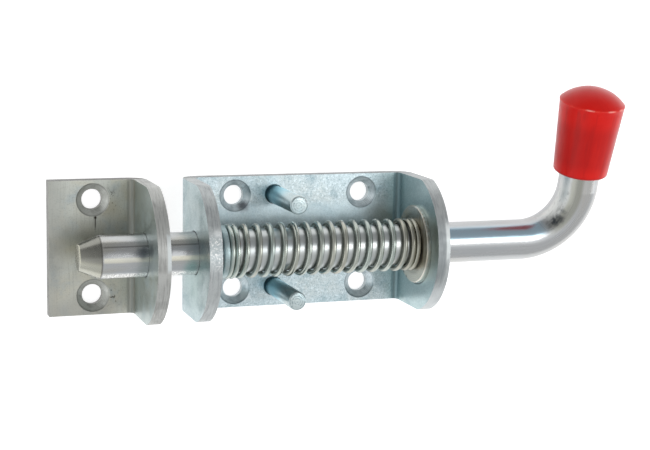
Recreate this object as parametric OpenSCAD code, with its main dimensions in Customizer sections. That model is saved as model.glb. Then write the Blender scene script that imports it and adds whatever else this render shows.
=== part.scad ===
// Spring bolt: a round bolt slides through the two stands of a folded bracket and enters a separate keeper.
// A compression spring round the bolt pushes it out; the bent end with its cap is the handle.
// X runs along the bolt towards the handle, Y along the handle, Z away from the mounting face.
// The origin is the middle of the bracket's screw pattern, on the mounting face.

/* [Strip] */
// Width of the flat strip that the bracket and the keeper are folded from
strip_w = 50.8; // [44:0.2:60]
// Thickness of the strip
strip_t = 4.8; // [3:0.1:6]
// Inner radius of each fold
fold_r = 1.8; // [0.5:0.1:3]

/* [Stands] */
// Height of the bolt's axis over the mounting face
axis_h = 23.4; // [21:0.1:26]
// Height at which a stand's straight sides end
side_h = 27; // [24:0.1:32]
// Height of a stand's round top
stand_h = 45.4; // [42:0.1:52]

/* [Bracket] */
// Length over both stands
bracket_len = 93; // [86:0.5:110]
// Distance between the screw holes along the bolt
hole_span = 51.4; // [46:0.2:56]

/* [Keeper] */
// Length of the keeper, from its free end to the far face of its stand
keeper_len = 36.4; // [34:0.2:50]
// Distance of the keeper's screw holes from its free end
keeper_hole_x = 16.4; // [10:0.2:18]
// Gap between the keeper's stand and the bracket
keeper_gap = 13.9; // [8:0.1:14]

/* [Screw holes] */
// Distance between the screw holes across the strip
hole_width = 36; // [30:0.2:38]
// Bore for a screw
screw_d = 7.6; // [5:0.1:8]
// Width of the 90 degree countersink
countersink_d = 12.6; // [10:0.1:14]

/* [Bolt] */
// Diameter of the bolt rod
rod_d = 15.9; // [14:0.1:16.5]
// Play between the rod and each bore it passes, across the diameter
play = 0.5; // [0.3:0.1:1]
// How far the nose stands out of the bracket at rest
nose_reach = 43.1; // [40:0.1:46]
// Length of the nose's taper
nose_len = 7.5; // [4:0.5:9]
// Diameter of the nose's flat end
nose_d = 9.7; // [7:0.1:12]

/* [Handle] */
// Straight rod between the bracket and the handle's bend, at rest
handle_start = 39.2; // [20:0.1:50]
// Bend radius of the rod's centre line
handle_r = 22; // [18:0.5:32]
// Angle of the bend
handle_bend = 90; // [60:0.5:100]
// How far the handle leans away from the mounting face, in degrees
handle_lean = 14.6; // [0:0.1:30]
// Straight rod beyond the bend, most of it inside the cap
arm_len = 26; // [22:0.5:28]

/* [Cap] */
// Distance of the cap's mouth from the bend
cap_start = 6.4; // [4:0.1:8]
// Diameter at the mouth
cap_mouth_d = 21.2; // [19:0.1:23]
// Diameter at the edge of the dome
cap_edge_d = 25.4; // [23:0.1:30]
// Length of the tapered side
cap_side = 29; // [28:0.5:36]
// Height of the dome
cap_dome_h = 5.6; // [4:0.1:10]

/* [Spring] */
// Diameter of the wire
wire_d = 2; // [1.6:0.1:2.2]
// Outer diameter of the coil
coil_d = 20.4; // [20.2:0.1:21.4]
// Number of turns
turns = 18; // [14:1:20]

/* [Washers and pin] */
// Diameter of the washer that the spring pushes against
thrust_d = 30; // [24:0.5:34]
// Thickness of that washer
thrust_t = 1.6; // [1:0.1:3]
// Diameter of the washer that carries the spring's moving end
seat_d = 20; // [19:0.1:21]
// Thickness of that washer
seat_t = 2.1; // [1.5:0.1:2.5]
// Diameter of the slotted pin through the rod
pin_d = 4; // [3:0.5:5]
// Length of that pin
pin_len = 20; // [18:0.5:22]

/* [Studs] */
// Diameter of the two studs beside the spring
stud_d = 7; // [5:0.5:8]
// Height of a stud above the plate
stud_h = 28.8; // [15:0.2:32]
// Distance of the studs from the bracket's end
stud_x = 36.9; // [32:0.1:60]

/* [Hidden] */
$fn = 64;

// Room that a cutting body passes beyond the face it opens
over = 1;
// Free gap between the pin and the stand it stops against
stop_gap = 0.1;

left_face = -bracket_len / 2;
right_face = bracket_len / 2;
bore_d = rod_d + play;
hole_y = hole_width / 2;
arch_rise = stand_h - side_h;
arch_r = (pow(strip_w / 2, 2) + pow(arch_rise, 2)) / (2 * arch_rise);
keeper_face = left_face - keeper_gap;

pin_x = left_face + strip_t + stop_gap + pin_d / 2;
pin_wall = pin_d / 5;
pin_slot = pin_d / 4;
seat_x = pin_x + pin_d / 2;
thrust_x = right_face - strip_t - thrust_t;

// The spring's ends are closed and ground flat, so the wire's centre starts near the end plane
spring_x = seat_x + seat_t;
spring_len = thrust_x - spring_x;
coil_r = (coil_d - wire_d) / 2;
closed_pitch = wire_d * 1.02;
closed_turns = 1.5;
ground_in = wire_d / 20;
centre_len = spring_len - 2 * ground_in;
open_pitch = (centre_len - closed_pitch * (2 * closed_turns + 1)) / (turns - 2 * closed_turns - 1);
steps_per_turn = 24;
wire_sides = 8;

bend_x = right_face + handle_start;
// The arm is a little thinner than the rod, so that the cap pushes on
grip_d = rod_d - 0.1;
rod_chamfer = 1;
cap_bore_depth = arm_len - cap_start + 2;
cap_dome_r = (pow(cap_edge_d / 2, 2) + pow(cap_dome_h, 2)) / (2 * cap_dome_h);
cap_lip_r = 0.9;
stud_chamfer = 0.6;

// Strip with one or two folds, seen from the side: a foot with round corners, less its inside
module round_foot(width, height, left_r, right_r) {
    translate([left_r, 0]) square([width - left_r - right_r, height]);
    translate([0, left_r]) square([left_r + right_r, height - left_r]);
    translate([width - left_r - right_r, right_r]) square([left_r + right_r, height - right_r]);
    if (left_r > 0) translate([left_r, left_r]) circle(r = left_r);
    translate([width - right_r, right_r]) circle(r = right_r);
}

// Outline of a stand, seen along the bolt: straight sides under a round arch
module stand_outline() {
    translate([-strip_w / 2, 0]) square([strip_w, side_h]);
    intersection() {
        translate([0, stand_h - arch_r]) circle(r = arch_r, $fn = 128);
        translate([-strip_w / 2, stand_h - arch_r]) square([strip_w, arch_r]);
    }
}

// Strip profile given in X and Z, made the strip's full width and trimmed to the stands' outline
module folded_strip(x, length) {
    intersection() {
        translate([x, strip_w / 2, 0]) rotate([90, 0, 0]) linear_extrude(strip_w) children();
        translate([x, 0, 0]) rotate([90, 0, 90]) linear_extrude(length) stand_outline();
    }
}

module screw_hole(x, y) {
    sink = (countersink_d - screw_d) / 2;
    translate([x, y, -over]) cylinder(h = strip_t + 2 * over, d = screw_d);
    translate([x, y, strip_t - sink])
        cylinder(h = sink + over, d1 = screw_d, d2 = countersink_d + 2 * over);
}

module along_x(x, length, d) {
    translate([x, 0, axis_h]) rotate([0, 90, 0]) cylinder(h = length, d = d);
}

module bracket() {
    outer_r = fold_r + strip_t;
    color("lightsteelblue") difference() {
        folded_strip(left_face, bracket_len) difference() {
            round_foot(bracket_len, stand_h, outer_r, outer_r);
            translate([strip_t, strip_t])
                round_foot(bracket_len - 2 * strip_t, stand_h, fold_r, fold_r);
        }
        along_x(left_face - over, bracket_len + 2 * over, bore_d);
        for (x = [-hole_span / 2, hole_span / 2], y = [-hole_y, hole_y]) screw_hole(x, y);
        for (y = [-hole_y, hole_y])
            translate([left_face + stud_x, y, -over]) cylinder(h = strip_t + 2 * over, d = stud_d);
    }
}

module keeper() {
    x = keeper_face - keeper_len;
    color("darkkhaki") difference() {
        folded_strip(x, keeper_len) difference() {
            round_foot(keeper_len, stand_h, 0, fold_r + strip_t);
            translate([-over, strip_t])
                round_foot(keeper_len - strip_t + over, stand_h, 0, fold_r);
        }
        along_x(keeper_face - strip_t - over, strip_t + 2 * over, bore_d);
        for (y = [-hole_y, hole_y]) screw_hole(x + keeper_hole_x, y);
    }
}

module stud(y) {
    height = strip_t + stud_h;
    color("silver") translate([left_face + stud_x, y, 0]) {
        cylinder(h = height - stud_chamfer, d = stud_d);
        translate([0, 0, height - stud_chamfer])
            cylinder(h = stud_chamfer, d1 = stud_d, d2 = stud_d - 2 * stud_chamfer);
    }
}

module upper_stud() stud(hole_y);

module lower_stud() stud(-hole_y);

module thrust_washer() {
    color("tan") difference() {
        along_x(thrust_x, thrust_t, thrust_d);
        along_x(thrust_x - over, thrust_t + 2 * over, bore_d);
    }
}

module seat_washer() {
    color("cadetblue") difference() {
        along_x(seat_x, seat_t, seat_d);
        along_x(seat_x - over, seat_t + 2 * over, bore_d);
    }
}

// Distance of the wire's centre from its start after n turns, up to the middle of the spring
function rise(n) =
    n <= closed_turns ? n * closed_pitch :
    n <= closed_turns + 1 ?
        n * closed_pitch + (open_pitch - closed_pitch) * pow(n - closed_turns, 2) / 2 :
    (closed_turns + 0.5) * closed_pitch + open_pitch / 2 + (n - closed_turns - 1) * open_pitch;

function wire_x(n) =
    ground_in + (n <= turns / 2 ? rise(n) : centre_len - rise(turns - n));

// Corner of the wire's section: q turns the section, the ends are ground to the end planes
function wire_point(n, q) =
    let (
        a = -90 - 360 * n,
        r = coil_r + wire_d / 2 * cos(q),
        x = min(max(wire_x(n) + wire_d / 2 * sin(q), 0), spring_len)
    )
    [x, r * cos(a), r * sin(a)];

module spring() {
    rings = turns * steps_per_turn;
    points = [
        for (i = [0 : rings], k = [0 : wire_sides - 1])
            wire_point(i / steps_per_turn, 360 * (k + 0.5) / wire_sides)
    ];
    sides = [
        for (i = [0 : rings - 1], k = [0 : wire_sides - 1])
            let (j = (k + 1) % wire_sides, a = i * wire_sides, b = a + wire_sides)
            [a + k, b + k, b + j, a + j]
    ];
    start_face = [for (k = [0 : wire_sides - 1]) k];
    end_face = [for (k = [wire_sides - 1 : -1 : 0]) rings * wire_sides + k];
    color("gray") translate([spring_x, 0, axis_h])
        polyhedron(points = points, faces = concat(sides, [start_face, end_face]));
}

module roll_pin() {
    color("dimgray") translate([pin_x, pin_len / 2, axis_h]) rotate([90, 0, 0]) difference() {
        cylinder(h = pin_len, d = pin_d);
        translate([0, 0, -over]) cylinder(h = pin_len + 2 * over, d = pin_d - 2 * pin_wall);
        translate([0, -pin_slot / 2, -over]) cube([pin_d, pin_slot, pin_len + 2 * over]);
    }
}

// Turns a piece about the bolt's axis by the handle's lean; inside, the axis is the X axis
module leaning() {
    translate([0, 0, axis_h]) rotate([handle_lean, 0, 0]) children();
}

// Places a piece at the end of the handle's bend, with Z along the arm
module at_arm() {
    leaning() translate([bend_x, handle_r, 0]) rotate([0, 0, handle_bend])
        translate([0, -handle_r, 0]) rotate([0, 90, 0]) children();
}

module bolt_rod() {
    nose_x = left_face - nose_reach;
    straight_x = nose_x + nose_len;
    color("gainsboro") difference() {
        union() {
            leaning() {
                translate([nose_x, 0, 0]) rotate([0, 90, 0])
                    cylinder(h = nose_len, d1 = nose_d, d2 = rod_d);
                translate([straight_x, 0, 0]) rotate([0, 90, 0])
                    cylinder(h = bend_x - straight_x, d = rod_d);
                translate([bend_x, handle_r, 0]) rotate([0, 0, -90])
                    rotate_extrude(angle = handle_bend) translate([handle_r, 0]) circle(d = rod_d);
            }
            at_arm() {
                translate([0, 0, -over]) cylinder(h = arm_len + over - rod_chamfer, d = grip_d);
                translate([0, 0, arm_len - rod_chamfer])
                    cylinder(h = rod_chamfer, d1 = grip_d, d2 = grip_d - 2 * rod_chamfer);
            }
        }
        translate([pin_x, rod_d, axis_h]) rotate([90, 0, 0]) cylinder(h = 2 * rod_d, d = pin_d);
    }
}

// Half section of the cap: tapered side with a round lip, and a shallow dome
module cap_section() {
    mouth_r = cap_mouth_d / 2;
    edge_r = cap_edge_d / 2;
    polygon([
        [0, 0], [mouth_r - cap_lip_r, 0], [mouth_r, cap_lip_r], [edge_r, cap_side], [0, cap_side]
    ]);
    translate([mouth_r - cap_lip_r, cap_lip_r]) circle(r = cap_lip_r);
    intersection() {
        translate([0, cap_side + cap_dome_h - cap_dome_r]) circle(r = cap_dome_r, $fn = 128);
        translate([0, cap_side]) square([edge_r, cap_dome_h]);
    }
}

module grip_cap() {
    color("red") at_arm() translate([0, 0, cap_start]) rotate_extrude() difference() {
        cap_section();
        translate([0, -over]) square([grip_d / 2, cap_bore_depth + over]);
    }
}

bracket();
keeper();
upper_stud();
lower_stud();
thrust_washer();
spring();
seat_washer();
roll_pin();
bolt_rod();
grip_cap();
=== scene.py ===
"""The spring bolt's looks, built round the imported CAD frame. All lengths are in metres."""

import math

import bpy
import bmesh
from mathutils import Matrix, Vector

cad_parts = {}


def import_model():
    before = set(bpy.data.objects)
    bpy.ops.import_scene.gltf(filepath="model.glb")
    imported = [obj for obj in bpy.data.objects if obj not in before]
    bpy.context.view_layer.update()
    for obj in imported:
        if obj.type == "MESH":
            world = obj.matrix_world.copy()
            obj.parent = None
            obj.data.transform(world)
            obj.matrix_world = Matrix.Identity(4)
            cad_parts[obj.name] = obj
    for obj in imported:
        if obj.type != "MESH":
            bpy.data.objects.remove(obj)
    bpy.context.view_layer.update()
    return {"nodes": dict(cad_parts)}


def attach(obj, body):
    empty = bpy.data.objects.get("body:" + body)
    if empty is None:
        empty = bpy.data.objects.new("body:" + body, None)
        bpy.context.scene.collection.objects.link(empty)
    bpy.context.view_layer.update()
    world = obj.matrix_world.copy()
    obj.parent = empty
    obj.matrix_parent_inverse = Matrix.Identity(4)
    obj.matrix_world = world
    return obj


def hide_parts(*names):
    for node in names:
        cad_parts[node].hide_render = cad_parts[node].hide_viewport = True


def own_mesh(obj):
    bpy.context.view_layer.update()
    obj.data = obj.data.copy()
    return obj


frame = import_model()

MM = 0.001

# Places and sizes, as in the part's source
AXIS_H = 23.4 * MM
STRIP_W = 50.8 * MM
STRIP_T = 4.8 * MM
LEFT_INNER = -41.7 * MM
RIGHT_INNER = 41.7 * MM
KEEPER_INNER = -65.2 * MM
HOLE_X = 25.7 * MM
HOLE_Y = 18 * MM
KEEPER_HOLE_X = -80.4 * MM
ROD_R = 15.9 * MM / 2
GRIP_R = 15.8 * MM / 2
BORE_R = 16.4 * MM / 2
NOSE_X = -89.6 * MM
NOSE_LEN = 7.5 * MM
NOSE_BASE = NOSE_X + NOSE_LEN
NOSE_R = 9.7 * MM / 2
BEND_X = 85.7 * MM
BEND_R = 22 * MM
BEND = math.radians(90)
LEAN = math.radians(14.6)
ARM_START = BEND_X + BEND_R * BEND
ARM_LEN = 26 * MM
CAP_START = 6.4 * MM
CAP_SIDE = 29 * MM
CAP_MOUTH_R = 21.2 * MM / 2
CAP_EDGE_R = 25.4 * MM / 2
CAP_DOME_H = 5.6 * MM
CAP_BORE = 21.6 * MM
PIN_X = -39.6 * MM
PIN_R = 2 * MM
SEAT_X = -37.6 * MM
SEAT_T = 2.1 * MM
SEAT_R = 10 * MM
SPRING_X = -35.5 * MM
SPRING_END = 40.1 * MM
WIRE_R = 1 * MM
COIL_R = 9.2 * MM
TURNS = 18
CLOSED_TURNS = 1.5
CLOSED_PITCH = 2.04 * MM
GROUND_IN = 0.1 * MM
STUD_X = -9.6 * MM
STUD_R = 3.5 * MM
STUD_TOP = 33.6 * MM
THRUST_R = 15 * MM
THRUST_T = 1.6 * MM

# Pitch of the rings in countersinks and on stud ends and washers, and the bend's scores against the grain
CONE_RINGS = 0.449 * MM
STUD_RINGS = 0.898 * MM
WASHER_RINGS = 0.698 * MM
SCORE_DEPTH = 20

# Rounded edges, and what counts as one point, one flat face and an edge to round
EDGE = 0.9 * MM
PIN_EDGE = 0.12 * MM
SHOULDER_R = 1.2 * MM
SAME_POINT = 0.002 * MM
FLAT = math.radians(0.4)
SHARP = math.radians(28)

# Sides and steps of the turned and bent pieces
SIDES = 96
CAP_SIDES = 128
STUD_SIDES = 64
SHAFT_STEPS = 24
BEND_STEPS = 60
CROWN_STEPS = 24
CAP_SIDE_STEPS = 12


# Mesh helpers


def fillet(corners, steps=4):
    """Rounds a line's corners. Each corner is (along, out, radius); returns (along, out) pairs."""
    points = []
    for i, (along, out, radius) in enumerate(corners):
        here = Vector((along, out))
        if not radius:
            points.append(here)
            continue
        before = (Vector(corners[i - 1][:2]) - here).normalized()
        after = (Vector(corners[(i + 1) % len(corners)][:2]) - here).normalized()
        half = before.angle(after) / 2
        centre = here + (before + after).normalized() * radius / math.sin(half)
        start = here + before * radius / math.tan(half) - centre
        turn = start.angle_signed(here + after * radius / math.tan(half) - centre)
        for k in range(steps + 1):
            angle = -turn * k / steps
            c, s = math.cos(angle), math.sin(angle)
            points.append(centre + Vector((start.x * c - start.y * s, start.x * s + start.y * c)))
    return points


def skin(rings, loop=False):
    """Vertices and quads over rings of equal count. A loop closes on itself, else both ends are capped."""
    count = len(rings[0])
    verts = [p for ring in rings for p in ring]
    last = len(rings) if loop else len(rings) - 1
    faces = []
    for i in range(last):
        a, b = i * count, (i + 1) % len(rings) * count
        for k in range(count):
            n = (k + 1) % count
            faces.append((a + k, a + n, b + n, b + k))
    if not loop:
        faces.append(tuple(reversed(range(count))))
        faces.append(tuple(range(len(verts) - count, len(verts))))
    return verts, faces


def turns(count):
    """Angles of points spread evenly round a circle."""
    return [2 * math.pi * k / count for k in range(count)]


def lathe(profile, place, sides, loop=False):
    """Turns (along, radius) pairs about the local Z axis and sets them in place."""
    rings = [[place @ Vector((out * math.cos(a), out * math.sin(a), along)) for a in turns(sides)]
             for along, out in profile]
    return skin(rings, loop)


def shade(mesh, sharp=30):
    for polygon in mesh.polygons:
        polygon.use_smooth = True
    mesh.set_sharp_from_angle(angle=math.radians(sharp))


def make(name, verts, faces, body, node, material, sharp=30):
    """A new piece of the object that stands for one CAD node."""
    mesh = bpy.data.meshes.new(name)
    mesh.from_pydata(verts, [], faces)
    work = bmesh.new()
    work.from_mesh(mesh)
    bmesh.ops.recalc_face_normals(work, faces=work.faces)
    work.to_mesh(mesh)
    work.free()
    shade(mesh, sharp)
    mesh.materials.append(material)
    piece = bpy.data.objects.new(name, mesh)
    bpy.context.scene.collection.objects.link(piece)
    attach(piece, body)
    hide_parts(node)
    return piece


ALONG_X = Matrix(((0, 0, 1, 0), (1, 0, 0, 0), (0, 1, 0, AXIS_H), (0, 0, 0, 1)))
ALONG_Y = Matrix(((1, 0, 0, 0), (0, 0, 1, 0), (0, -1, 0, AXIS_H), (0, 0, 0, 1)))
LEANING = Matrix.Translation((0, 0, AXIS_H)) @ Matrix.Rotation(LEAN, 4, "X")


# Materials


def srgb(red, green, blue):
    """Linear colour from 0-255 screen values."""
    def linear(value):
        value /= 255
        return value / 12.92 if value <= 0.04045 else ((value + 0.055) / 1.055) ** 2.4
    return (linear(red), linear(green), linear(blue), 1)


class Nodes:
    """Short names for making the nodes of one tree."""

    def __init__(self, tree):
        self.tree = tree

    def put(self, kind, inputs=None, **settings):
        """A new node with its settings made. Each input is a value or the output of another node."""
        node = self.tree.nodes.new(kind if "Node" in kind else "ShaderNode" + kind)
        for key, value in settings.items():
            setattr(node, key, value)
        for key, value in (inputs or {}).items():
            if isinstance(value, bpy.types.NodeSocket):
                self.tree.links.new(value, node.inputs[key])
            else:
                node.inputs[key].default_value = value
        return node

    def math(self, operation, a, b=0.0):
        return self.put("Math", {0: a, 1: b}, operation=operation).outputs[0]

    def both(self, *masks):
        """Product of masks."""
        product = masks[0]
        for mask in masks[1:]:
            product = self.math("MULTIPLY", product, mask)
        return product

    def away(self, value, centre=0.0):
        """Distance of a value from centre."""
        return self.math("ABSOLUTE", self.math("SUBTRACT", value, centre))

    def reach(self, a, b):
        """Length of the line whose run and rise are a and b."""
        return self.math("SQRT", self.math("ADD", self.both(a, a), self.both(b, b)))

    def span(self, value, low, high, start=0.0, end=1.0):
        """Maps low..high of value smoothly to start..end."""
        inputs = {0: value, 1: low, 2: high, 3: start, 4: end}
        return self.put("MapRange", inputs, interpolation_type="SMOOTHSTEP").outputs[0]

    def window(self, value, start, full, last, end):
        """1 while value is between full and last, and down to 0 at start and end."""
        return self.both(self.span(value, start, full), self.span(value, end, last))


class Shader(Nodes):
    """One material, and the colour, roughness and height that it has so far."""

    def __init__(self, name, attribute=None):
        self.material = bpy.data.materials.new(name)
        self.material.use_nodes = True
        super().__init__(self.material.node_tree)
        self.bsdf = self.tree.nodes["Principled BSDF"]
        self.color = self.level = self.height = None
        if attribute:
            self.place = self.put("Attribute", attribute_name=attribute).outputs["Vector"]
        else:
            self.place = self.put("TexCoord").outputs["Object"]

    def axes(self, letters="XYZ"):
        """The coordinates of a place on the surface along the axes of those letters."""
        outputs = self.put("SeparateXYZ", {0: self.place}).outputs
        return [outputs[letter] for letter in letters]

    def distance(self, point):
        """Distance of a place on the surface from a point."""
        return self.put("VectorMath", {0: self.place, 1: point}, operation="DISTANCE").outputs["Value"]

    def noise(self, scale, stretch=(1, 1, 1), detail=3, roughness=0.55, distortion=0, seed=0):
        """Noise from 0 to 1; scale is in features per metre, stretch divides it along each axis."""
        inputs = {"Vector": self.place, "Scale": [scale / s for s in stretch], "Location": (seed,) * 3}
        vector = self.put("Mapping", inputs).outputs[0]
        inputs = {"Vector": vector, "Scale": 1, "Detail": detail, "Roughness": roughness,
                  "Distortion": distortion}
        return self.put("TexNoise", inputs).outputs[0]

    def ragged(self, value, depth, scale, **kind):
        """The value with noise of that depth added, which frays the outline of a mask made from it."""
        wave = self.math("SUBTRACT", self.noise(scale, **kind), 0.5)
        return self.math("ADD", value, self.math("MULTIPLY", wave, depth))

    def near(self, point, radius, share=1.0, fray=0.8):
        """Soft patch round a point: share at its middle, nothing from about radius on, frayed outline."""
        far = self.ragged(self.distance(point), fray * radius, 1.6 / radius, seed=radius / MM)
        return self.span(far, 0.15 * radius, radius, share, 0)

    def rings(self, far, pitch):
        """Wave from -1 to 1 along a distance."""
        return self.math("SINE", self.math("MULTIPLY", far, 2 * math.pi / pitch))

    def blend(self, factor, a, b):
        return self.put("Mix", {0: factor, 2: a, 3: b}).outputs[0]

    def paint(self, mask, color, share=1.0):
        """Mixes the material's colour with another, by a mask and at most by the share."""
        inputs = {0: self.both(mask, share), 6: self.color, 7: color}
        self.color = self.put("Mix", inputs, data_type="RGBA").outputs[2]

    def spots(self, color, *places, fray=0.8, within=1.0):
        """Soft patches of one colour within a mask. Each is (x, y, z, radius, share), in millimetres."""
        for x, y, z, radius, share in places:
            patch = self.near((x * MM, y * MM, z * MM), radius * MM, share, fray)
            self.paint(self.both(patch, within), color)

    def set(self, **values):
        """Sets the surface's own sockets, named with _ for each space."""
        for key, value in values.items():
            socket = self.bsdf.inputs[key.replace("_", " ")]
            if isinstance(value, bpy.types.NodeSocket):
                self.tree.links.new(value, socket)
            else:
                socket.default_value = value
        return self.material

    def finish(self, bump, **values):
        """The material with its colour, roughness and height; bump is how high the height's 1 stands."""
        inputs = {"Height": self.height, "Distance": bump, "Strength": 1.0}
        normal = self.put("Bump", inputs).outputs[0]
        return self.set(Base_Color=self.color, Roughness=self.level, Normal=normal, **values)


def zinc(name, base, warm, cool, dark, rough, speckle=0.5, attribute=None, run=(1, 1, 1)):
    """Zinc plate before its marks: clouded colour, fine speckle and duller veils, drawn out by run."""
    s = Shader(name, attribute)
    clouds = s.noise(55, stretch=run, detail=4, roughness=0.6, distortion=0.6)
    veils = s.noise(130, stretch=run, roughness=0.6, seed=3.1)
    grit = s.noise(2400, stretch=run, detail=2, roughness=0.6, seed=7.7)
    s.color = base
    s.paint(s.span(clouds, 0.42, 0.68), warm)
    s.paint(s.span(veils, 0.5, 0.72), cool, 0.7)
    s.paint(s.span(grit, 0.52, 0.75), dark, speckle)
    s.height = grit
    s.level = s.math("ADD", s.span(veils, 0.35, 0.7, *rough), s.span(grit, 0.4, 0.7, 0, 0.1 * speckle))
    return s


def grain(s, stretch, share, tint, dark, scale=1500):
    """Fine lines along one way, in colour and height."""
    lines = s.noise(scale, stretch=stretch, detail=2, seed=1.3)
    s.height = s.blend(share, s.height, lines)
    s.paint(s.span(lines, 0.5, 0.72), dark, tint)


def cut_edges(s, bright, dark, highlight_from, dull):
    """The sheared edges of a folded strip, on the stands' arches and the plates' long sides. Lines run with
    the outline, and a thin line of painted shade parts each arch from the stand's -X face. Over the top of
    a stand, a painted highlight lies on a strip of the edge from the x given on. Upright surfaces below the
    plate's face get painted shade by the last share."""
    normal_x, normal_y, normal_z = s.put("SeparateXYZ", {0: s.put("TexCoord").outputs["Normal"]}).outputs
    x, y, z = s.axes()
    off_axis = s.reach(y, s.math("SUBTRACT", z, AXIS_H))
    outline = s.both(s.span(z, 6 * MM, 9 * MM), s.span(off_axis, 9 * MM, 10 * MM))
    arch = s.both(s.span(s.away(normal_x), 0.75, 0.45), outline)
    sides = s.both(s.span(s.away(y), STRIP_W / 2 - 0.4 * MM, STRIP_W / 2 - 0.1 * MM),
                   s.span(s.away(normal_y), 0.5, 0.8))
    mask = s.math("MAXIMUM", arch, sides)
    shear = s.noise(2600, stretch=(1, 16, 16), roughness=0.6, seed=5.5)
    grit = s.noise(1900, roughness=0.7, seed=2.9)
    patches = s.noise(160, seed=8.1)
    s.paint(mask, bright)
    s.paint(s.both(mask, s.span(shear, 0.46, 0.66)), dark, 0.45)
    s.paint(s.both(mask, s.span(grit, 0.55, 0.75)), dark, 0.35)
    s.paint(s.both(mask, s.span(patches, 0.5, 0.7)), dark, 0.25)
    # Painted shade on the upright sides and ends below the plate's face, by the share given last.
    low = s.both(s.span(s.away(normal_z), 0.6, 0.4), s.span(z, STRIP_T + 0.4 * MM, STRIP_T))
    s.paint(low, srgb(96, 94, 92), dull)
    # A thin line of painted shade on the bevel between each arch and the stand's -X face.
    parting_shade = s.both(s.window(normal_x, -0.97, -0.88, -0.7, -0.55), outline)
    s.paint(parting_shade, srgb(96, 98, 98), 0.55)
    # A painted highlight on a strip over the top of the stand's edge.
    top = s.span(s.ragged(s.away(y, 4.3 * MM), 5 * MM, 420, roughness=0.6, seed=1.9), 8.5 * MM, 5.5 * MM)
    strip = s.window(x, highlight_from, highlight_from + 0.4 * MM, highlight_from + 2 * MM, highlight_from + 2.4 * MM)
    s.paint(s.both(arch, top, strip, s.span(z, 38 * MM, 40 * MM)), srgb(204, 209, 209))
    s.level = s.blend(mask, s.level, s.span(patches, 0.35, 0.65, 0.50, 0.6))
    s.height = s.blend(mask, s.height, grit)
    return mask


def countersinks(s, centres, color, dark):
    """Machined cones of the screw holes: rougher, with fine rings, a dark rim and a few dull patches."""
    x, y, z = s.axes()
    uneven = s.noise(260, detail=4, roughness=0.65, seed=5.1)
    inside = s.span(z, STRIP_T - 0.02 * MM, STRIP_T - 0.2 * MM)
    for centre_x, centre_y in centres:
        far = s.reach(s.math("SUBTRACT", x, centre_x), s.math("SUBTRACT", y, centre_y))
        cone = s.both(inside, s.span(far, 7 * MM, 6.6 * MM))
        s.paint(cone, color)
        rings = s.rings(far, CONE_RINGS)
        s.paint(s.both(cone, s.span(rings, -0.4, 0.9)), dark, 0.3)
        s.paint(s.both(cone, s.span(uneven, 0.42, 0.66)), dark, 0.4)
        s.paint(s.both(cone, s.span(far, 5.5 * MM, 6.1 * MM)), dark, 0.55)
        s.level = s.blend(cone, s.level, 0.45)
        s.height = s.math("ADD", s.height, s.both(cone, rings, 0.12))


def dull_shaded_fold(s, inner, crease, color):
    """The inside of a fold, rough from the press, with painted shade in it that is darkest along its
    crease.
    The stand's inner face is given by its x, and the crease by its distance from there towards the plate."""
    x, z = s.axes("XZ")
    fold = s.both(s.window(x, inner - 2.8 * MM, inner - 2 * MM, inner, inner + 0.2 * MM),
                  s.window(z, STRIP_T - 0.3 * MM, STRIP_T, 6.5 * MM, 8.5 * MM))
    # Painted shade in the fold's inside corner, with a darker line of it along the crease.
    s.paint(fold, color, 0.7)
    s.paint(s.both(fold, s.span(s.away(x, inner - crease), 0.7 * MM, 0.15 * MM)), srgb(72, 84, 86), 0.4)
    s.level = s.blend(fold, s.level, 0.6)


def right_corner_shade(s):
    """Inner face and foot of the bracket's right stand: greener by painted reflection, with painted shade
    beside the washer and a painted shadow at its rim.
    """
    x, y, z = s.axes()
    corner = s.window(x, 34 * MM, RIGHT_INNER, RIGHT_INNER + 0.5 * MM, 44 * MM)
    # A greener tint on the corner: painted reflection of the plate.
    s.paint(corner, srgb(182, 207, 208), 0.55)
    off_axis = s.reach(y, s.math("SUBTRACT", z, AXIS_H))
    rim = s.span(s.away(off_axis, THRUST_R + 0.5 * MM), 0.45 * MM, 0.15 * MM)
    # A thin painted shadow round the washer's rim, on its -Y side.
    s.paint(s.both(corner, rim, s.span(y, -2 * MM, -5 * MM)), srgb(70, 82, 84), 0.75)
    # Painted shade beside the washer.
    washer_shade = s.both(corner, s.span(z, 17 * MM, 23 * MM), s.span(s.away(y), 14 * MM, 9 * MM))
    s.paint(washer_shade, srgb(152, 164, 160), 0.6)


def left_stand(s):
    """The bracket's left stand: a smoother outer face with a greener patch beside the bore."""
    x, z = s.axes("XZ")
    face = LEFT_INNER - STRIP_T
    outer = s.both(s.span(x, face + 0.3 * MM, face + 0.1 * MM), s.span(z, 6 * MM, 10 * MM))
    s.paint(outer, srgb(180, 200, 202), 0.5)
    s.paint(s.near((face, -10 * MM, 22 * MM), 18 * MM, 0.5), srgb(165, 193, 189))


def top_edge_highlight(s):
    """A painted highlight on the top of the left stand's edge, with bright and dull flecks, and one pale
    spot.
    """
    fleck = s.noise(1300, detail=2, roughness=0.6, seed=3.7)
    # A patch of painted highlight over the stand's top, with bright and dull flecks in it.
    wear_and_sheen = s.near((LEFT_INNER - 1.2 * MM, 4.5 * MM, 45 * MM), 9.5 * MM, 1.0, 0.4)
    s.paint(wear_and_sheen, srgb(203, 214, 216), 0.45)
    s.paint(s.both(wear_and_sheen, s.span(fleck, 0.55, 0.63)), srgb(236, 236, 234))
    s.paint(s.both(wear_and_sheen, s.span(fleck, 0.44, 0.36)), srgb(160, 170, 172), 0.6)
    s.spots(srgb(240, 242, 242), (-43.1, 10.3, 43.3, 2.2, 0.5), fray=0.3)


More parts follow.
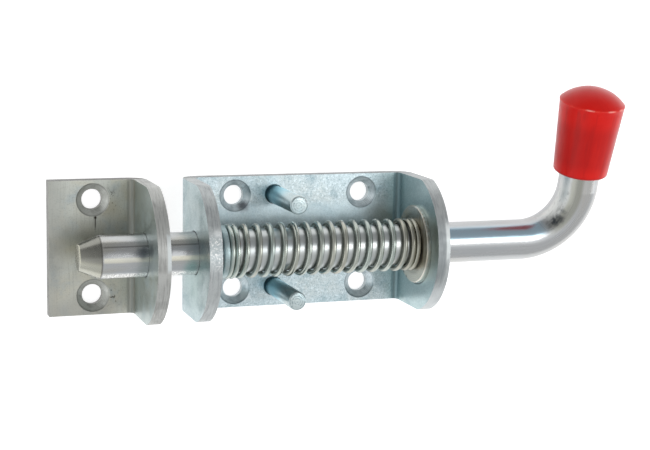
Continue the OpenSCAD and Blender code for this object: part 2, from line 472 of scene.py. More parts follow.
def bracket_zinc():
    """Bright blue zinc that sparkles, with painted light on a strip of the plate beside the spring, painted
    shade in a crescent at the foot of each stud, and painted highlights and shade in the left countersinks."""
    dark = srgb(110, 133, 140)
    s = zinc("bracket_zinc_bright", srgb(188, 202, 206), srgb(189, 198, 198), srgb(167, 189, 196),
             dark, (0.28, 0.42), 0.85)
    sparkle = s.noise(1150, roughness=0.75, seed=6.8)
    s.paint(s.span(sparkle, 0.52, 0.68), srgb(218, 231, 237), 0.7)
    s.paint(s.span(sparkle, 0.46, 0.34), srgb(138, 164, 172), 0.6)
    grain(s, (1, 3, 3), 0.2, 0.25, dark, scale=2600)
    right_corner_shade(s)
    x, y, z = s.axes()
    on_plate = s.span(z, 6 * MM, 5 * MM)
    # Painted light on a strip of the plate beside the spring.
    s.paint(s.both(on_plate, s.span(s.away(y, 10.5 * MM), 6 * MM, 2 * MM)), srgb(208, 228, 236), 0.5)
    for side in (HOLE_Y, -HOLE_Y):
        # Painted shade in a crescent at the foot of each stud, on its -X side.
        far = s.distance((STUD_X - 0.5 * MM, side + 0.3 * MM, STRIP_T))
        ring = s.span(far, STUD_R + 0.45 * MM, STUD_R + 0.15 * MM)
        s.paint(s.both(ring, on_plate), srgb(52, 70, 76))
    left_stand(s)
    centres = [(u * HOLE_X, v * HOLE_Y) for u in (-1, 1) for v in (-1, 1)]
    countersinks(s, centres, srgb(238, 247, 250), dark)
    # Painted highlights on the right of the left countersinks, and a patch of painted shade in the upper
    # one.
    s.spots(srgb(250, 255, 255), (-20.9, 17.3, 3.6, 3.0, 0.9), (-21.4, -21.0, 3.6, 3.0, 0.9), fray=0.6)
    s.spots(srgb(108, 112, 118), (-22.4, 13.6, 3.6, 3.2, 0.9), fray=0.6)
    dull_shaded_fold(s, RIGHT_INNER, 1.1 * MM, srgb(132, 160, 166))
    edges = cut_edges(s, srgb(188, 192, 192), srgb(124, 129, 133), RIGHT_INNER + 3 * MM, 0.35)
    edge = s.both(edges, s.span(x, RIGHT_INNER - 0.2 * MM, RIGHT_INNER + 0.1 * MM))
    # Painted shade over the middle of the right stand's edge, and painted light on its lower part.
    shaded = s.both(s.span(x, RIGHT_INNER + 3.6 * MM, RIGHT_INNER + 2.8 * MM),
                    s.window(y, -16 * MM, -7 * MM, 9 * MM, 16 * MM), s.span(z, 16 * MM, 24 * MM))
    s.paint(s.both(edge, shaded), srgb(133, 139, 141), 0.7)
    s.paint(s.both(edge, s.span(y, -11 * MM, -16 * MM)), srgb(212, 216, 217), 0.6)
    top_edge_highlight(s)
    return s.finish(0.02 * MM, Metallic=1.0)


def keeper_zinc():
    """Duller, faintly yellow zinc with blue-grey and brown clouds, a dull border, specks beside the holes
    and a run mark below the upper one."""
    dark = srgb(133, 134, 127)
    s = zinc("keeper_zinc_olive", srgb(188, 191, 184), srgb(191, 189, 175), srgb(176, 186, 188),
             dark, (0.32, 0.46))
    grain(s, (1, 14, 14), 0.3, 0.2, dark)
    top = STRIP_T / MM
    s.spots(srgb(149, 161, 172), (-90, 5.5, top, 7, 0.14), (-71, 5.5, top, 6, 0.16),
            (-87, -13, top, 5, 0.2))
    s.spots(srgb(175, 166, 140), (-74, 15, top, 6, 0.5), (-91, -2, top, 8, 0.2), (-75, 0, top, 7, 0.3),
            (-66, 19, top, 4, 0.5))
    x, y, z = s.axes()
    left, lower = s.span(x, -88 * MM, -96 * MM, 0, 0.5), s.span(y, -13 * MM, -23 * MM, 0, 0.6)
    border = s.both(s.math("MAXIMUM", left, lower), s.span(x, -66 * MM, -78 * MM))
    s.paint(border, srgb(152, 152, 147))
    fleck = s.noise(900, detail=2, roughness=0.7, seed=4.4)
    s.spots(srgb(81, 78, 69), (-74.5, 17.5, top, 6, 1), (-74.5, -18.5, top, 6, 1), fray=0.3,
            within=s.span(fleck, 0.56, 0.64))
    run_x = -79.5 * MM
    run = s.both(s.span(s.away(x, run_x), 0.35 * MM, 0.1 * MM),
                 s.window(y, 5.5 * MM, 9 * MM, 11.8 * MM, 12.6 * MM))
    s.paint(run, srgb(62, 58, 53), 0.85)
    s.paint(s.near((run_x, 11.4 * MM, STRIP_T), 0.9 * MM, 1.0, 0.3), srgb(55, 51, 46))
    countersinks(s, [(KEEPER_HOLE_X, HOLE_Y), (KEEPER_HOLE_X, -HOLE_Y)], srgb(216, 218, 213), dark)
    facing = s.both(s.span(s.away(x, KEEPER_INNER), 0.3 * MM, 0.1 * MM), s.span(z, 7 * MM, 9 * MM))
    s.paint(facing, srgb(176, 196, 198), 0.5)
    dull_shaded_fold(s, KEEPER_INNER, 0.6 * MM, srgb(166, 168, 161))
    cut_edges(s, srgb(186, 187, 184), srgb(124, 124, 122), KEEPER_INNER + 3.2 * MM, 0.7)
    return s.finish(0.02 * MM, Metallic=1.0)


def end_stains_and_sheen(s):
    """The bar's end past the bracket: stained, with a dark line and a painted highlight band along it on
    the side away from the plate, pits towards -Y, a few dark spots of painted reflection beside the
    keeper's stand and a teal painted reflection by the bracket's left stand. The part inside the spring is
    a little duller, and painted lighter."""
    along, inward, across = s.axes()
    stains = s.noise(110, stretch=(2.5, 1, 1), detail=2, roughness=0.5, seed=4.2)
    outer = s.span(along, -40 * MM, -50 * MM)
    s.paint(s.both(outer, s.span(stains, 0.48, 0.68)), srgb(175, 169, 143), 0.25)
    s.paint(s.both(outer, s.span(stains, 0.46, 0.32)), srgb(140, 148, 148), 0.2)
    wear_and_sheen = s.both(outer, s.span(across, 0, 2 * MM), s.span(along, NOSE_BASE, NOSE_BASE + 1 * MM))
    line = s.span(s.away(inward, 6 * MM), 0.35 * MM, 0.05 * MM)
    s.paint(s.both(wear_and_sheen, line, s.span(stains, 0.36, 0.5)), srgb(70, 68, 66), 0.5)
    # A painted highlight band along the bar.
    band = s.span(s.away(inward, 1.8 * MM), 1.3 * MM, 0.4 * MM)
    s.paint(s.both(wear_and_sheen, band, s.span(stains, 0.3, 0.55, 0.4, 1)), srgb(238, 232, 206), 0.5)
    pits = s.span(s.noise(1700, detail=2, roughness=0.7, seed=6.4), 0.44, 0.58)
    s.paint(s.both(wear_and_sheen, s.span(inward, -3.2 * MM, -4.4 * MM), pits), srgb(244, 244, 240), 0.9)
    # Dark spots of painted reflection of the keeper's stand, on the bar beside it.
    s.spots(srgb(92, 98, 106), (-68, 3.8, 7.0, 3.2, 0.65), (-66.5, 4.6, 6.4, 2.6, 0.65),
            (-58, 4.6, 6.4, 2.4, 0.65))
    # A teal painted reflection of the bracket's left stand.
    s.spots(srgb(136, 172, 166), (-49.5, -2, 7.7, 4, 0.6), fray=0.3)
    inside = s.window(along, -38 * MM, -34 * MM, 38 * MM, 42 * MM)
    s.level = s.blend(inside, s.level, 0.32)
    # Painted light on the bar inside the spring.
    s.paint(inside, srgb(192, 200, 198), 0.4)


def dull_nose(s):
    """The tapered nose: dull and yellowish, with painted shade on its +Y side, and a dark line round its
    base.
    """
    along, inward = s.axes("XY")
    nose = s.span(along, NOSE_BASE + 0.1 * MM, NOSE_BASE - 0.1 * MM)
    s.paint(s.both(nose, s.span(inward, -1 * MM, 1 * MM, 0.7, 0.9)), srgb(182, 181, 164))
    cone = s.both(nose, s.span(along, NOSE_X + 0.1 * MM, NOSE_X + 0.5 * MM))
    # Painted shade on the cone's +Y side.
    s.paint(s.both(cone, s.span(inward, -0.6 * MM, 1.6 * MM)), srgb(128, 128, 124), 0.8)
    s.paint(s.span(s.away(along, NOSE_BASE), 0.4 * MM, 0.15 * MM), srgb(85, 83, 80), 0.6)
    s.level = s.blend(nose, s.level, s.span(s.noise(700, seed=9.3), 0.3, 0.7, 0.22, 0.3))


def scored_bend(s):
    """The handle's side of the bar: a band of painted cool reflection before the bend, and on the bend's
    inner side scores, a dull stripe and dark marks."""
    along, inward, across = s.axes()
    # A bluish band of painted reflection of the dark wall on the handle's side.
    cool = s.both(s.window(along, 40 * MM, 50 * MM, 92 * MM, 100 * MM), s.span(across, 0, 2 * MM),
                  s.window(inward, 2.5 * MM, 4.5 * MM, 7 * MM, 7.8 * MM))
    s.paint(cool, srgb(172, 200, 216), 0.8)
    arm = s.both(s.span(along, BEND_X + 8 * MM, BEND_X + 18 * MM), s.span(across, -1 * MM, 1 * MM))
    scored = s.both(arm, s.span(along, BEND_X + 42 * MM, BEND_X + 34 * MM),
                    s.span(inward, 3.5 * MM, 6 * MM))
    wrinkles = s.noise(620, stretch=(3.5, 1, 1), roughness=0.65, distortion=1.2, seed=6.6)
    s.height = s.math("ADD", s.height, s.both(scored, wrinkles, SCORE_DEPTH))
    s.paint(scored, srgb(211, 212, 209), 0.8)
    s.paint(s.both(scored, s.span(wrinkles, 0.52, 0.62)), srgb(118, 120, 118), 0.35)
    s.level = s.blend(scored, s.level, 0.42)
    stripe = s.both(arm, s.window(inward, 1.2 * MM, 2.6 * MM, 5.2 * MM, 6.4 * MM))
    s.paint(stripe, srgb(148, 148, 132), 0.6)
    s.spots(srgb(66, 72, 76), (99, 5.4, 5.8, 2.6, 0.5), (102.2, 5.6, 5.6, 3.0, 0.95),
            (105.2, 5.0, 6.2, 2.8, 0.8), (109, 5.6, 5.6, 2.0, 0.5), fray=1.2,
            within=s.span(wrinkles, 0.36, 0.5, 0.45, 1))


def rod_zinc():
    """Drawn bar with long hairlines, a stained, pitted end with painted reflections, a dull nose with
    painted shade, and a scored bend with a painted cool reflection.
    """
    dark = srgb(142, 143, 142)
    s = zinc("rod_zinc_drawn", srgb(181, 183, 184), srgb(184, 182, 177), srgb(170, 176, 182), dark,
             (0.24, 0.30), speckle=0.06, attribute="straight", run=(8, 1, 1))
    grain(s, (40, 1, 1), 0.85, 0.14, dark)
    end_stains_and_sheen(s)
    dull_nose(s)
    scored_bend(s)
    return s.finish(0.0009 * MM, Metallic=1.0)


def stud_zinc():
    """Zinc with a painted reflection of the plate, bluer towards the plate, and rings and scratches on the
    turned end.
    """
    dark = srgb(97, 119, 126)
    s = zinc("stud_zinc_bright", srgb(184, 202, 206), srgb(186, 197, 197), srgb(158, 192, 202), dark,
             (0.28, 0.4), speckle=0.7)
    x, y, z = s.axes()
    # Painted reflection of the blue plate, bluer towards the plate.
    s.paint(s.span(z, 28 * MM, 12 * MM), srgb(158, 214, 230), 0.95)
    far = s.reach(s.math("SUBTRACT", x, STUD_X), s.math("SUBTRACT", s.away(y), HOLE_Y))
    rings = s.rings(far, STUD_RINGS)
    end = s.span(z, STUD_TOP - 0.3 * MM, STUD_TOP - 0.1 * MM)
    scratches = s.noise(1100, stretch=(3, 1, 1), roughness=0.7, seed=4.9)
    s.paint(s.both(end, s.span(rings, 0.0, 1.0, 0.1, 0.7), s.span(scratches, 0.4, 0.6)), dark)
    s.height = s.math("ADD", s.height, s.both(end, rings, scratches))
    return s.finish(0.02 * MM, Metallic=1.0)


def thrust_zinc():
    """Dull washer: paler towards -Y, browner towards its middle by painted shade from the spring, streaked
    on top partly as painted reflection of the spring, rusty low on its rim.
    """
    dark = srgb(117, 112, 99)
    s = zinc("washer_zinc_dull", srgb(200, 203, 199), srgb(198, 192, 176), srgb(188, 200, 201), dark,
             (0.28, 0.44))
    y, z = s.axes("YZ")
    s.paint(s.span(y, -4 * MM, -11 * MM), srgb(228, 225, 213), 0.8)
    far = s.distance((SPRING_END, 0, AXIS_H))
    s.paint(s.span(s.rings(far, WASHER_RINGS), 0.2, 1.0), dark, 0.18)
    # Painted shade near the spring, browner towards the middle.
    s.paint(s.span(far, 12.2 * MM, 11 * MM), srgb(120, 111, 96), 0.25)
    # Streaks on top, partly painted reflection of the spring.
    wear_and_sheen = s.both(s.span(z, AXIS_H + 2 * MM, AXIS_H + 6 * MM), s.span(y, -9 * MM, -5 * MM))
    streaks = s.noise(1500, stretch=(1, 8, 1), seed=6.1)
    s.paint(s.both(wear_and_sheen, s.span(streaks, 0.4, 0.65, 0.3, 0.75)), srgb(142, 131, 113))
    for rise, radius, share in ((-0.55, 1.6, 0.95), (-0.34, 1.2, 0.8)):
        spot = (SPRING_END, -THRUST_R * math.sqrt(1 - rise ** 2), AXIS_H + rise * THRUST_R)
        s.paint(s.near(spot, radius * MM, share), srgb(65, 50, 32))
    return s.finish(0.02 * MM, Metallic=1.0)


def seat_zinc():
    s = zinc("seat_zinc_teal", srgb(160, 178, 180), srgb(162, 172, 170), srgb(148, 170, 175),
             srgb(88, 104, 106), (0.36, 0.5))
    return s.finish(0.02 * MM, Metallic=1.0)


def spring_wire():
    """Drawn wire, its lines along the coil, browner in the last turns."""
    dark = srgb(104, 103, 99)
    s = zinc("spring_wire_steel", srgb(174, 183, 177), srgb(176, 176, 165), srgb(167, 180, 182), dark,
             (0.24, 0.36), speckle=0.3, attribute="straight", run=(6, 1, 1))
    grain(s, (20, 1, 1), 0.4, 0.15, dark)
    wire_len = TURNS * 2 * math.pi * COIL_R
    s.paint(s.span(s.axes("X")[0], 0.82 * wire_len, 0.92 * wire_len), srgb(148, 140, 124), 0.6)
    return s.finish(0.006 * MM, Metallic=1.0)


def pin_steel():
    dark = srgb(53, 51, 50)
    s = zinc("pin_steel_dark", srgb(106, 104, 101), srgb(112, 104, 96), srgb(96, 99, 103), dark,
             (0.28, 0.4))
    grain(s, (1, 12, 1), 0.3, 0.15, dark)
    return s.finish(0.02 * MM, Metallic=1.0)


def plastic():
    """Soft red plastic, a little clear, with painted shade where the rod is inside, darker at the mouth,
    faint flow marks, drag lines along its side and a painted highlight along the crease at the dome, broken
    into glints."""
    s = Shader("red_plastic_gloss")
    upright = {"Vector": s.place, "Location": LEANING.inverted().translation, "Rotation": (-LEAN, 0, 0)}
    s.place = s.put("Mapping", upright).outputs[0]
    flow = s.noise(90, distortion=1.2)
    scuff = s.noise(900, stretch=(1, 3, 1), seed=2.2)
    drag = s.noise(420, stretch=(1, 14, 1), roughness=0.6, seed=5.9)
    s.color = srgb(214, 20, 10)
    s.paint(s.span(flow, 0.35, 0.7), srgb(204, 14, 8), 0.5)
    mouth = rod_place(ARM_START + CAP_START)[0]
    rise = s.math("SUBTRACT", s.axes("Y")[0], mouth.y)
    # Painted shade where the rod inside the cap blocks the light.
    core_shade = s.window(rise, 2 * MM, 7 * MM, CAP_BORE - 3 * MM, CAP_BORE + 3 * MM)
    s.paint(core_shade, srgb(178, 8, 5), 0.6)
    side = s.span(rise, CAP_SIDE, CAP_SIDE - 2 * MM)
    s.paint(s.both(side, s.span(drag, 0.48, 0.68)), srgb(150, 8, 5), 0.28)
    s.paint(s.both(side, s.span(drag, 0.46, 0.32)), srgb(228, 36, 18), 0.15)
    s.paint(s.span(rise, 1.3 * MM, 0.3 * MM), srgb(132, 6, 5), 0.6)
    # A painted highlight along the crease, broken up by noise.
    crease = s.span(s.away(rise, CAP_SIDE + 0.05 * MM), 0.4 * MM, 0.1 * MM)
    wear_and_sheen = s.noise(330, detail=2, roughness=0.7, seed=7.3)
    s.paint(s.both(crease, s.span(wear_and_sheen, 0.4, 0.6, 0.1, 0.35)), srgb(240, 92, 74))
    # Painted glints on the crease.
    for degrees, radius in ((82, 2.4), (56, 2.0), (122, 2.2), (240, 2.6), (330, 2.4)):
        turn = math.radians(degrees)
        spot = mouth + Vector((CAP_EDGE_R * math.cos(turn), CAP_SIDE, CAP_EDGE_R * math.sin(turn)))
        s.paint(s.both(crease, s.near(spot, radius * MM, 0.7, 1.2)), srgb(246, 176, 166))
    s.level = s.math("ADD", s.span(flow, 0.3, 0.7, 0.30, 0.38), s.span(scuff, 0.55, 0.75, 0, 0.08))
    s.height = s.math("ADD", flow, s.math("MULTIPLY", scuff, 0.05))
    return s.finish(0.05 * MM, Subsurface_Weight=0.5, Subsurface_Scale=3 * MM,
                    Subsurface_Radius=(1.0, 0.2, 0.12), IOR=1.48, Specular_IOR_Level=0.22,
                    Sheen_Weight=0.5, Sheen_Roughness=0.35)


# Bracket, keeper and pin


def edge_width(edge):
    """How far an edge of a folded strip is rounded, as a share of EDGE: most round a stand's outline, less
    along the plate's sides, and least at bores, screw holes and the plate's ends."""
    plate_side, plate_other, bore, grows_over = 0.4, 0.16, 0.22, 8 * MM
    middle = (edge.verts[0].co + edge.verts[1].co) / 2
    from_axis = math.hypot(middle.y, middle.z - AXIS_H)
    on_plate_side = abs(middle.y) > STRIP_W / 2 - 0.01 * MM
    if middle.z < STRIP_T + 0.5 * MM:
        return plate_side if on_plate_side else plate_other
    if from_axis < BORE_R + 1 * MM:
        return bore
    rise = min((middle.z - STRIP_T) / grows_over, 1)
    return plate_side + (1 - plate_side) * rise


def on_shoulder(edge):
    """Whether an edge runs through a stand's thickness at the corner below its round top."""
    a, b = (v.co for v in edge.verts)
    outer = min(abs(a.y), abs(b.y)) > STRIP_W / 2 - 0.05 * MM
    return outer and min(a.z, b.z) > 20 * MM and abs(a.z - b.z) < 0.01 * MM and abs(a.x - b.x) > 3 * MM


def folded_strip(name, node, material):
    """A folded strip with the form of its CAD node, its flat faces whole and its edges rounded by place."""
    mesh = frame["nodes"][node].data.copy()
    mesh.name = name
    mesh.materials.clear()
    mesh.materials.append(material)
    work = bmesh.new()
    work.from_mesh(mesh)
    bmesh.ops.remove_doubles(work, verts=work.verts, dist=SAME_POINT)
    bmesh.ops.dissolve_limit(work, angle_limit=FLAT, verts=work.verts, edges=work.edges)
    shoulders = [e for e in work.edges if on_shoulder(e)]
    bmesh.ops.bevel(work, geom=shoulders, offset=SHOULDER_R, segments=4, profile=0.5, affect="EDGES")
    weight = work.edges.layers.float.new("bevel_weight_edge")
    for edge in work.edges:
        if len(edge.link_faces) == 2 and edge.calc_face_angle() > SHARP:
            edge[weight] = edge_width(edge)
    work.to_mesh(mesh)
    work.free()
    if "custom_normal" in mesh.attributes:
        mesh.attributes.remove(mesh.attributes["custom_normal"])
    shade(mesh, 180)
    piece = bpy.data.objects.new(name, mesh)
    bpy.context.scene.collection.objects.link(piece)
    bevel = piece.modifiers.new("edges", "BEVEL")
    bevel.width = EDGE
    bevel.segments = 4
    bevel.limit_method = "WEIGHT"
    piece.modifiers.new("normals", "WEIGHTED_NORMAL")
    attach(piece, "bracket")
    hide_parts(node)


def roll_pin():
    """The pin's CAD node, with its edges rounded by modifiers and its material set."""
    piece = frame["nodes"]["roll_pin"]
    piece.material_slots[0].material = pin_steel()
    weld = piece.modifiers.new("weld", "WELD")
    weld.merge_threshold = SAME_POINT
    flat = piece.modifiers.new("flat", "DECIMATE")
    flat.decimate_type = "DISSOLVE"
    flat.angle_limit = FLAT
    bevel = piece.modifiers.new("edges", "BEVEL")
    bevel.width = PIN_EDGE
    bevel.segments = 2
    bevel.limit_method = "ANGLE"
    bevel.angle_limit = SHARP
    piece.modifiers.new("normals", "WEIGHTED_NORMAL")


folded_strip("bracket_folded", "bracket", bracket_zinc())
folded_strip("keeper_folded", "keeper", keeper_zinc())
roll_pin()


# Bolt rod


def rod_place(s):
    """Frame of the rod's section at the straightened length s: centre, in-plane normal."""
    if s <= BEND_X:
        return Vector((s, 0, 0)), Vector((0, 1, 0))
    angle = min((s - BEND_X) / BEND_R, BEND)
    centre = Vector((BEND_X + BEND_R * math.sin(angle), BEND_R * (1 - math.cos(angle)), 0))
    past = max(s - ARM_START, 0)
    centre += Vector((math.cos(angle), math.sin(angle), 0)) * past
    return centre, Vector((-math.sin(angle), math.cos(angle), 0))


def straight_place(point):
    """A rod point's place on the straight bar: along it, towards the bend's inside, and sideways."""
    p = LEANING.inverted() @ point
    if p.x <= BEND_X:
        return p.x, p.y, p.z
    angle = math.atan2(p.x - BEND_X, BEND_R - p.y)
    if angle <= BEND:
        return BEND_X + BEND_R * angle, BEND_R - math.hypot(p.x - BEND_X, BEND_R - p.y), p.z
    centre, normal = rod_place(ARM_START)
    onward = normal.cross(Vector((0, 0, 1)))
    return ARM_START + (p - centre).dot(onward), (p - centre).dot(normal), p.z


def cut(piece, verts, faces):
    """Takes a closed form out of a piece."""
    mesh = bpy.data.meshes.new("cutter")
    mesh.from_pydata(verts, [], faces)
    cutter = bpy.data.objects.new("cutter", mesh)
    bpy.context.scene.collection.objects.link(cutter)
    boolean = piece.modifiers.new("cut", "BOOLEAN")
    boolean.operation = "DIFFERENCE"
    boolean.solver = "EXACT"
    boolean.object = cutter
    view = bpy.context.evaluated_depsgraph_get()
    result = bpy.data.meshes.new_from_object(piece.evaluated_get(view))
    piece.modifiers.remove(boolean)
    piece.data = result
    bpy.data.objects.remove(cutter)
    shade(result)


def bolt_rod():
    """Drawn bar with its tapered nose, its bend, the narrower end inside the cap and its pin hole. The
    attribute straight keeps each point's place on the straight bar."""
    tip = fillet([(NOSE_X, 0, 0), (NOSE_X, NOSE_R, 0.35 * MM), (NOSE_BASE, ROD_R, 0.5 * MM),
                  (BEND_X, ROD_R, 0)])
    profile = [(s, r) for s, r in tip[:-1] if r > 0]
    shaft = [BEND_X * k / SHAFT_STEPS for k in range(-SHAFT_STEPS, SHAFT_STEPS)]
    profile += [(s, ROD_R) for s in shaft if s > profile[-1][0] + 2 * MM]
    profile += [(BEND_X + BEND_R * BEND * k / BEND_STEPS, ROD_R) for k in range(BEND_STEPS + 1)]
    end, chamfer = ARM_START + ARM_LEN, 1 * MM
    tail = fillet([(ARM_START + 0.2 * MM, GRIP_R, 0), (end - chamfer, GRIP_R, 0.3 * MM),
                   (end, GRIP_R - chamfer, 0.3 * MM), (end, 0, 0)])
    profile += [(s, r) for s, r in tail if r > 0]
    rings = []
    for s, r in profile:
        centre, normal = rod_place(s)
        rings.append([LEANING @ (centre + normal * r * math.cos(a) + Vector((0, 0, r * math.sin(a))))
                      for a in turns(SIDES)])
    verts, faces = skin(rings)
    piece = make("bolt_rod_drawn", verts, faces, "bolt", "bolt_rod", rod_zinc())
    across = Matrix.Translation((PIN_X, 0, 0)) @ ALONG_Y
    cut(piece, *lathe([(-2 * ROD_R, PIN_R), (2 * ROD_R, PIN_R)], across, SIDES // 2))
    places = [value for vert in piece.data.vertices for value in straight_place(vert.co)]
    piece.data.attributes.new("straight", "FLOAT_VECTOR", "POINT").data.foreach_set("vector", places)


bolt_rod()


# Grip cap


def grip_cap():
    """Push-on cap: tapered side with a round lip, a fine bead at the edge of the dome, and a blind bore."""
    dome_r = (CAP_EDGE_R ** 2 + CAP_DOME_H ** 2) / (2 * CAP_DOME_H)
    dome_z = CAP_SIDE + CAP_DOME_H - dome_r
    reach = math.asin(CAP_EDGE_R / dome_r)
    crown = [(dome_z + dome_r * math.cos(a), dome_r * math.sin(a))
             for a in (reach * (1 - k / CROWN_STEPS) for k in range(1, CROWN_STEPS))]
    bead_h, pole_r = 0.12 * MM, 0.05 * MM
    shell = fillet([(CAP_BORE, 0, 0), (CAP_BORE, GRIP_R, 0.8 * MM), (0, GRIP_R, 0.5 * MM),
                    (0, CAP_MOUTH_R, 0.9 * MM), (CAP_SIDE, CAP_EDGE_R - bead_h, 0)], 6)
    lower, upper = shell[:-1], shell[-1]
    side = [lower[-1].lerp(upper, k / CAP_SIDE_STEPS) for k in range(1, CAP_SIDE_STEPS)]
    bead = [(CAP_SIDE - 0.5 * MM, CAP_EDGE_R - 0.15 * MM), (CAP_SIDE - 0.25 * MM, CAP_EDGE_R - 0.03 * MM),
            (CAP_SIDE, CAP_EDGE_R), (CAP_SIDE + 0.2 * MM, CAP_EDGE_R - bead_h)]
    profile = [(a, max(r, pole_r)) for a, r in [*lower, *side, *bead, *crown]]
    profile.append((CAP_SIDE + CAP_DOME_H, pole_r))
    centre, normal = rod_place(ARM_START + CAP_START)
    along = Vector((0, 0, 1)).cross(normal) * -1
    place = LEANING @ Matrix.Translation(centre) @ Matrix((
        (normal.x, 0, along.x, 0), (normal.y, 0, along.y, 0), (0, 1, 0, 0), (0, 0, 0, 1)))
    verts, faces = lathe(profile, place, CAP_SIDES)
    make("grip_cap_moulded", verts, faces, "bolt", "grip_cap", plastic(), 50)


grip_cap()


# Washers and studs


def washer(name, node, body, start, thickness, radius, material):
    """Punched washer: rounded on the side that the punch entered, sharp on the other."""
    end = start + thickness
    profile = fillet([(start, BORE_R, 0.25 * MM), (start, radius, 0.45 * MM), (end, radius, 0.1 * MM),
                      (end, BORE_R, 0.1 * MM)])
    verts, faces = lathe(profile, ALONG_X, SIDES, loop=True)
    make(name, verts, faces, body, node, material)


def stud(name, node, y, material):
    """Turned stud with a soft end, flush with the plate's back."""
    profile = fillet([(0, 0, 0), (0, STUD_R, 0.1 * MM), (STUD_TOP, STUD_R, 0.7 * MM), (STUD_TOP, 0, 0)], 5)
    profile = [(a, r) for a, r in profile if r > 0]
    verts, faces = lathe(profile, Matrix.Translation((STUD_X, y, 0)), STUD_SIDES)
    make(name, verts, faces, "bracket", node, material)


washer("thrust_washer_punched", "thrust_washer", "bracket", SPRING_END, THRUST_T, THRUST_R, thrust_zinc())
washer("seat_washer_punched", "seat_washer", "spring_seat", SEAT_X, SEAT_T, SEAT_R, seat_zinc())
stud_finish = stud_zinc()
stud("upper_stud_turned", "upper_stud", HOLE_Y, stud_finish)
stud("lower_stud_turned", "lower_stud", -HOLE_Y, stud_finish)


# Spring


def spring():
    """The coil's wire. Two values a point let it close up as a real coil does: stack is what closed turns
    would take, share is the part of the open length before the point."""
    length = SPRING_END - SPRING_X
    centre_len = length - 2 * GROUND_IN
    open_pitch = (centre_len - CLOSED_PITCH * (2 * CLOSED_TURNS + 1)) / (TURNS - 2 * CLOSED_TURNS - 1)
    extra = open_pitch - CLOSED_PITCH

    def opened(n):
        """Length over closed turns that the open pitch adds after n turns, up to the middle."""
        over = n - CLOSED_TURNS
        return 0 if over <= 0 else extra * over ** 2 / 2 if over <= 1 else extra * (over - 0.5)

    total = 2 * opened(TURNS / 2)
    per_turn, sides, start = 60, 14, math.radians(-90)
    rings, stack, share, straight = [], [], [], []
    for i in range(TURNS * per_turn + 1):
        n = i / per_turn
        add = opened(n) if n <= TURNS / 2 else total - opened(TURNS - n)
        a = start - 2 * math.pi * n
        ring = []
        for k in range(sides):
            q = 2 * math.pi * (k + 0.5) / sides
            r = COIL_R + WIRE_R * math.cos(q)
            x = GROUND_IN + n * CLOSED_PITCH + add + WIRE_R * math.sin(q)
            x = min(max(x, 0), length)
            ring.append(Vector((SPRING_X + x, r * math.cos(a), AXIS_H + r * math.sin(a))))
            stack.append(x - add)
            share.append(add / total)
            straight += [n * 2 * math.pi * COIL_R, WIRE_R * math.cos(q), WIRE_R * math.sin(q)]
        rings.append(ring)
    verts, faces = skin(rings)
    piece = make("spring_coil", verts, faces, "bracket", "spring", spring_wire())
    for name, kind, field, values in (("stack", "FLOAT", "value", stack),
                                      ("share", "FLOAT", "value", share),
                                      ("straight", "FLOAT_VECTOR", "vector", straight)):
        piece.data.attributes.new(name, kind, "POINT").data.foreach_set(field, values)
    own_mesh(piece)
    close_up(piece, length - total)


def close_up(piece, solid):
    """Places each point by stack and share between the coil's two ends, so the wire keeps its thickness."""
    tree = bpy.data.node_groups.new("close_up", "GeometryNodeTree")
    tree.interface.new_socket("Geometry", in_out="INPUT", socket_type="NodeSocketGeometry")
    tree.interface.new_socket("Geometry", in_out="OUTPUT", socket_type="NodeSocketGeometry")
    nodes = Nodes(tree)

    def named(name):
        """A number kept with each point."""
        node = nodes.put("GeometryNodeInputNamedAttribute", {0: name}, data_type="FLOAT")
        return node.outputs["Attribute"]

    geometry = nodes.put("NodeGroupInput").outputs[0]
    position = nodes.put("GeometryNodeInputPosition").outputs[0]
    x, y, z = nodes.put("SeparateXYZ", {0: position}).outputs
    ends = nodes.put("GeometryNodeAttributeStatistic", {0: geometry, 2: x}, data_type="FLOAT").outputs
    room = nodes.math("SUBTRACT", ends["Range"], solid)
    along = nodes.math("ADD", named("stack"), nodes.both(named("share"), room))
    point = nodes.put("CombineXYZ", {0: nodes.math("ADD", ends["Min"], along), 1: y, 2: z}).outputs[0]
    moved = nodes.put("GeometryNodeSetPosition", {0: geometry, 2: point}).outputs[0]
    nodes.put("NodeGroupOutput", {0: moved})
    piece.modifiers.new("close_up", "NODES").node_group = tree


spring()


# Camera, floor and light


def camera():
    """The camera fitted to the photograph's outlines; its focal length and picture width are in pixels."""
    focal, picture_w, sensor_w = 1540.233, 650, 36
    data = bpy.data.cameras.new("camera")
    data.sensor_width = sensor_w
    data.lens = sensor_w * focal / picture_w
    data.clip_start = 0.05
    data.clip_end = 30
    piece = bpy.data.objects.new("camera", data)
    place = (-0.18839, 0.10198, 0.56411)
    right, up, back = ((0.94289, 0.019727, 0.332519), (0.035048, 0.986829, -0.157927),
                       (-0.331255, 0.160562, 0.92978))
    turned = Matrix((right, up, back)).transposed().to_4x4()
    piece.matrix_world = Matrix.Translation(place) @ turned
    bpy.context.scene.collection.objects.link(piece)
    bpy.context.scene.camera = piece


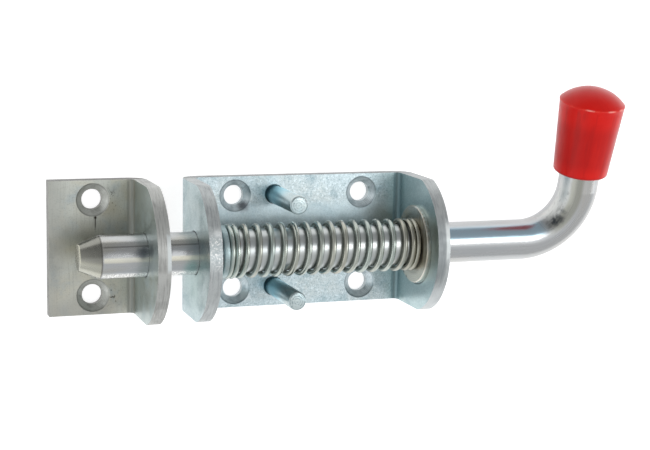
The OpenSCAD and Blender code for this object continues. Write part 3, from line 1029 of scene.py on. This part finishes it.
def floor():
    """White paper under the part, a little dimmer far away; it takes the part's shadow."""
    s = Shader("floor_pale")
    path = s.put("LightPath").outputs
    seen = s.math("MAXIMUM", path["Is Camera Ray"],
                  s.math("MAXIMUM", path["Is Glossy Ray"], path["Is Transmission Ray"]))
    far = s.distance((0, 0, 0))
    s.color = (0.85, 0.85, 0.85, 1)
    s.paint(seen, (0.6, 0.6, 0.6, 1))
    s.set(Base_Color=s.color, Roughness=0.9, Specular_IOR_Level=0.0, Emission_Color=(1, 1, 1, 1),
          Emission_Strength=s.both(seen, s.span(far, 0.35, 1.5, 0.80, 0.45)))
    mesh = bpy.data.meshes.new("floor")
    half, drop = 4, -0.05 * MM
    mesh.from_pydata([(-half, -half, drop), (half, -half, drop), (half, half, drop), (-half, half, drop)],
                     [], [(0, 1, 2, 3)])
    mesh.materials.append(s.material)
    piece = bpy.data.objects.new("floor", mesh)
    bpy.context.scene.collection.objects.link(piece)


def lamp(name, place, target, width, height, radiance):
    """A soft rectangular lamp of even brightness that faces target."""
    data = bpy.data.lights.new(name, "AREA")
    data.shape = "RECTANGLE"
    data.size = width
    data.size_y = height
    data.energy = radiance * math.pi * width * height
    piece = bpy.data.objects.new(name, data)
    back = (Vector(place) - Vector(target)).normalized()
    side = Vector((0, 1, 0)).cross(back).normalized()
    up = back.cross(side)
    piece.matrix_world = Matrix.Translation(place) @ Matrix((side, up, back)).transposed().to_4x4()
    bpy.context.scene.collection.objects.link(piece)


def world():
    """Plain studio room: a pale glow overhead, paler walls in front, darker ones on the handle's side."""
    place = bpy.data.worlds.new("studio")
    place.use_nodes = True
    bpy.context.scene.world = place
    s = Nodes(place.node_tree)
    x, y, z = s.put("SeparateXYZ", {0: s.put("TexCoord").outputs["Generated"]}).outputs
    tilt = s.math("DIVIDE", y, s.reach(y, z))
    front = 0.80
    dimmer = s.math("SUBTRACT", s.span(x, -0.5, 0.1, 0.29, 0.45), front)
    walls = s.math("ADD", s.both(s.span(tilt, -0.25, 0.3), dimmer), front)
    end_wall = s.span(x, -0.45, -0.8, 0, 0.6)
    overhead = s.both(s.span(s.away(tilt, -0.09), 0.1, 0.36, 0.42, 0), s.span(x, -0.1, 0.25))
    strength = s.math("ADD", s.math("ADD", walls, end_wall), overhead)
    background = place.node_tree.nodes["Background"]
    place.node_tree.links.new(strength, background.inputs["Strength"])
    background.inputs["Color"].default_value = (0.98, 0.99, 1.0, 1)


camera()
floor()
world()
lamp("top_softbox", (0.40, 0.16, 0.80), (0, 0, 0.02), 0.36, 0.34, 4.2)
lamp("right_softbox", (1.0, -0.06, 0.34), (0, 0, 0.02), 0.45, 0.3, 3.0)

bpy.context.scene.view_settings.view_transform = "Standard"
